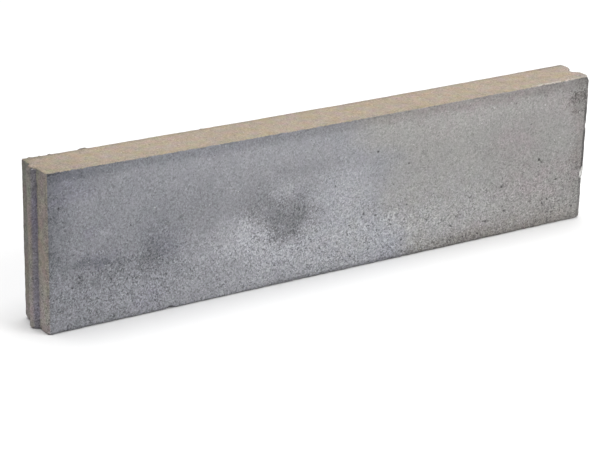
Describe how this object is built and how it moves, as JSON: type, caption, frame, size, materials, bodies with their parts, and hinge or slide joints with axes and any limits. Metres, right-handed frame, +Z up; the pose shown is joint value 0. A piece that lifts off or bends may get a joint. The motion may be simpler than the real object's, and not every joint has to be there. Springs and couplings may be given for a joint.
{
  "type": "concrete kerb stone",
  "caption": "Straight precast concrete kerb stone, a tall thin slab on its long edge, with a full-height tongue at one end and a matching groove at the other.",
  "frame": {"origin": "middle of the bed, the long narrow face that the stone stands on, under the centre of the 1000 mm body", "axes": "+X along the stone from the tongue end to the groove end, +Y through its thickness from front to back, +Z up its height"},
  "size_m": [1.009, 0.08, 0.25],
  "materials": {
    "concrete": "dry vibrated concrete, matte and sandy, blue-grey cast faces and a warm sandy top"
  },
  "bodies": {
    "root": {"kerb_stone": "concrete"}
  },
  "joints": []
}
